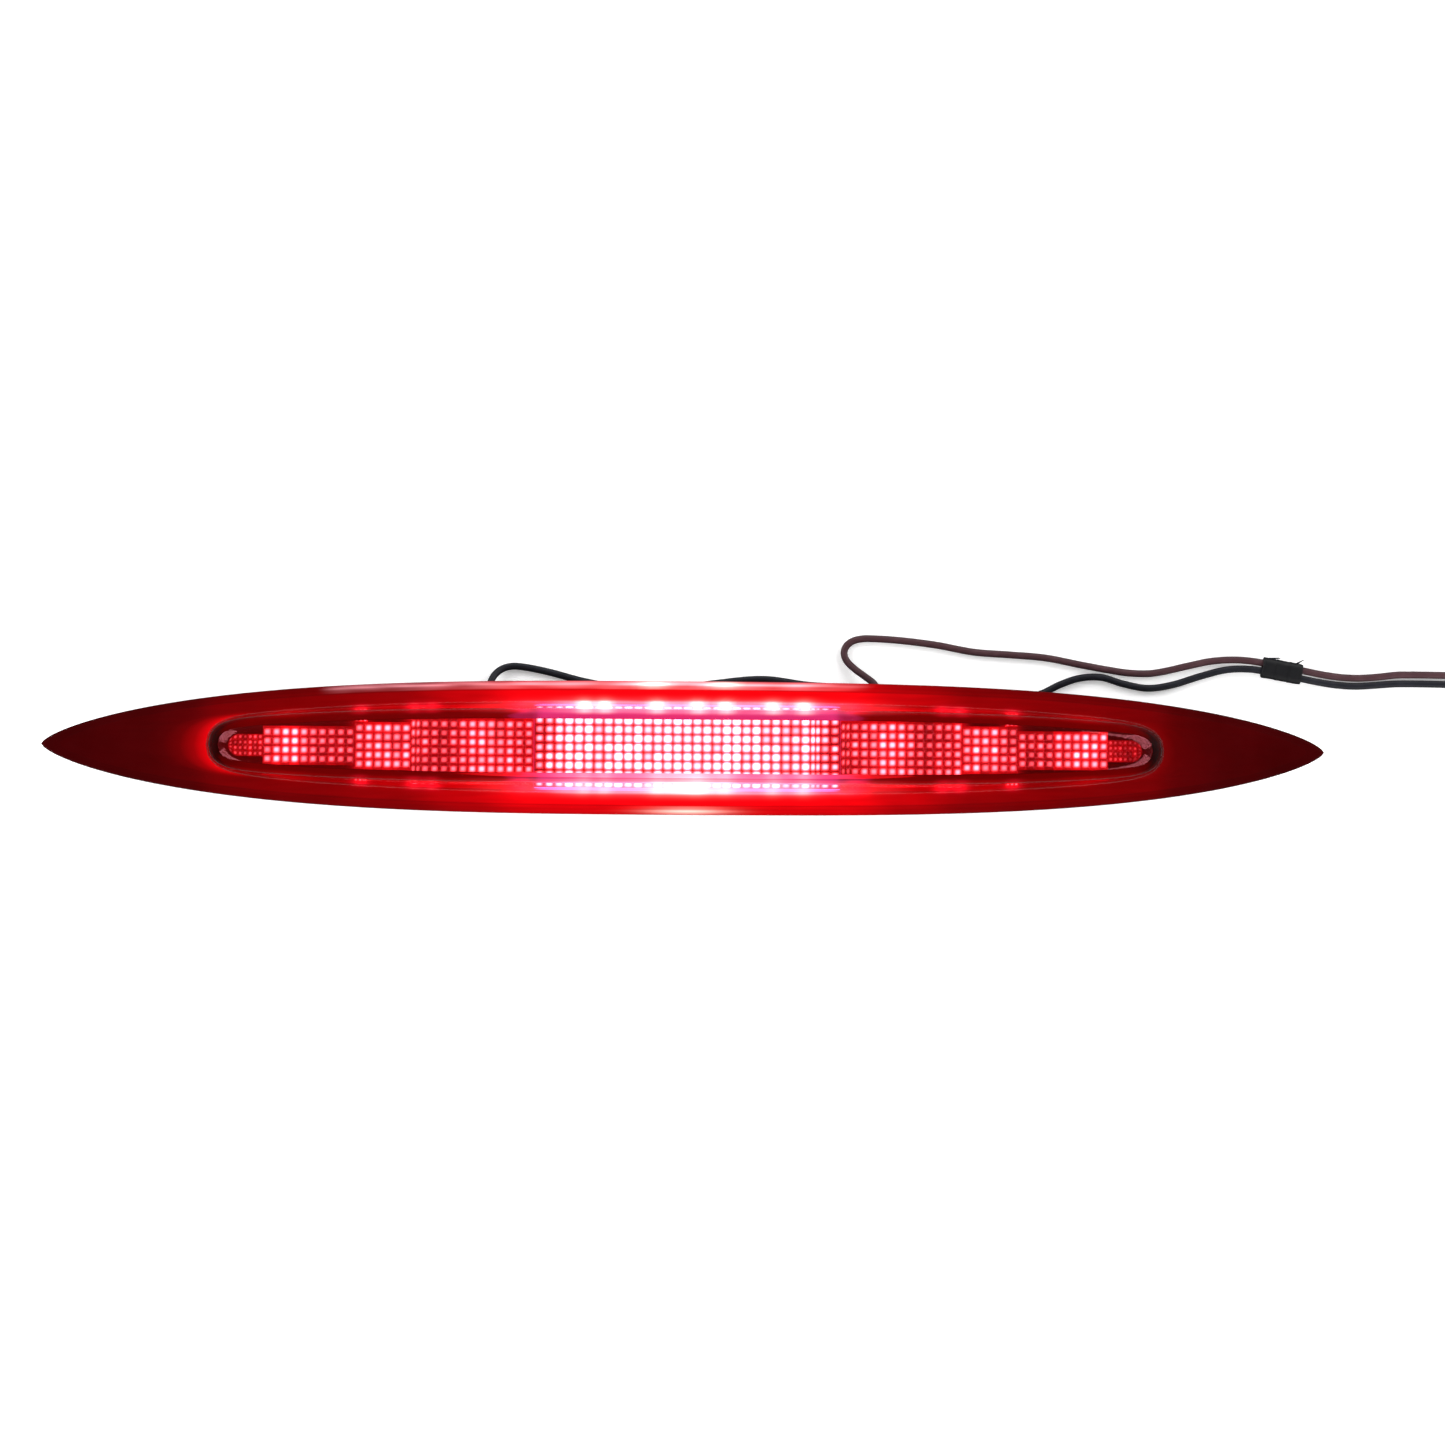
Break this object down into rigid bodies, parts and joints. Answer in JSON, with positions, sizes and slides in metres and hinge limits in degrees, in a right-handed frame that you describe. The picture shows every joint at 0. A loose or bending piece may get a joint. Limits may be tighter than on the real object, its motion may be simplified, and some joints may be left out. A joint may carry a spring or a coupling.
{
  "type": "third brake light",
  "caption": "Long spindle-shaped LED high-mount stop lamp with a raised red lens, foam gasket, black tub housing and two leads to a small connector.",
  "frame": {"origin": "middle of the housing's flat back, on the surface that the lamp lies on", "axes": "+X along the lamp towards the side where the leads go, +Y across it towards the leads, +Z out through the lens"},
  "size_m": [0.529, 0.0594, 0.0264],
  "materials": {
    "red_lens": "clear red moulded acrylic, polished",
    "clear_optic": "clear moulded acrylic, pillow pattern",
    "black_plastic": "black moulded plastic",
    "dark_tray": "dark moulded plastic, semi gloss",
    "black_foam": "closed-cell foam",
    "black_rubber": "moulded rubber",
    "seal_bead": "sealant bead",
    "green_board": "circuit board with green solder mask",
    "led_body": "clear epoxy, lit red",
    "resistor_ceramic": "chip resistor",
    "zinc_steel": "zinc-plated steel",
    "brass": "turned brass",
    "tinned_copper": "tinned copper alloy",
    "brown_pvc": "brown wire insulation",
    "black_pvc": "black wire insulation",
    "black_tape": "black insulating tape",
    "grey_plastic": "dark grey moulded plastic",
    "lock_plastic": "orange moulded plastic",
    "seal_silicone": "silicone seal"
  },
  "bodies": {
    "lamp": {"outer_lens": "red_lens", "rear_housing": "black_plastic", "lens_seal": "seal_bead", "body_gasket": "black_foam", "reflector_tray": "dark_tray", "left_optic": "clear_optic", "centre_optic": "clear_optic", "right_optic": "clear_optic", "led_board": "green_board", "led_1": "led_body", "led_2": "led_body", "led_3": "led_body", "led_4": "led_body", "led_5": "led_body", "led_6": "led_body", "led_7": "led_body", "led_8": "led_body", "led_9": "led_body", "led_10": "led_body", "resistor_1": "resistor_ceramic", "resistor_2": "resistor_ceramic", "resistor_3": "resistor_ceramic", "diode": "black_plastic", "board_screw_1": "zinc_steel", "board_screw_2": "zinc_steel", "board_screw_3": "zinc_steel", "board_screw_4": "zinc_steel", "threaded_insert_left": "brass", "threaded_insert_right": "brass", "breather_vent": "black_rubber", "wire_grommet_brown": "black_rubber", "wire_grommet_black": "black_rubber", "brown_wire": "brown_pvc", "black_wire": "black_pvc", "tape_wrap": "black_tape", "connector_housing": "grey_plastic", "terminal_brown": "tinned_copper", "terminal_black": "tinned_copper", "wire_seal_brown": "seal_silicone", "wire_seal_black": "seal_silicone"},
    "lock": {"connector_lock": "lock_plastic"}
  },
  "joints": [
    {"name": "lock_slide", "type": "slide", "parent": "lamp", "child": "lock", "axis": [1, 0, 0], "range_m": [0, 0.003]}
  ]
}
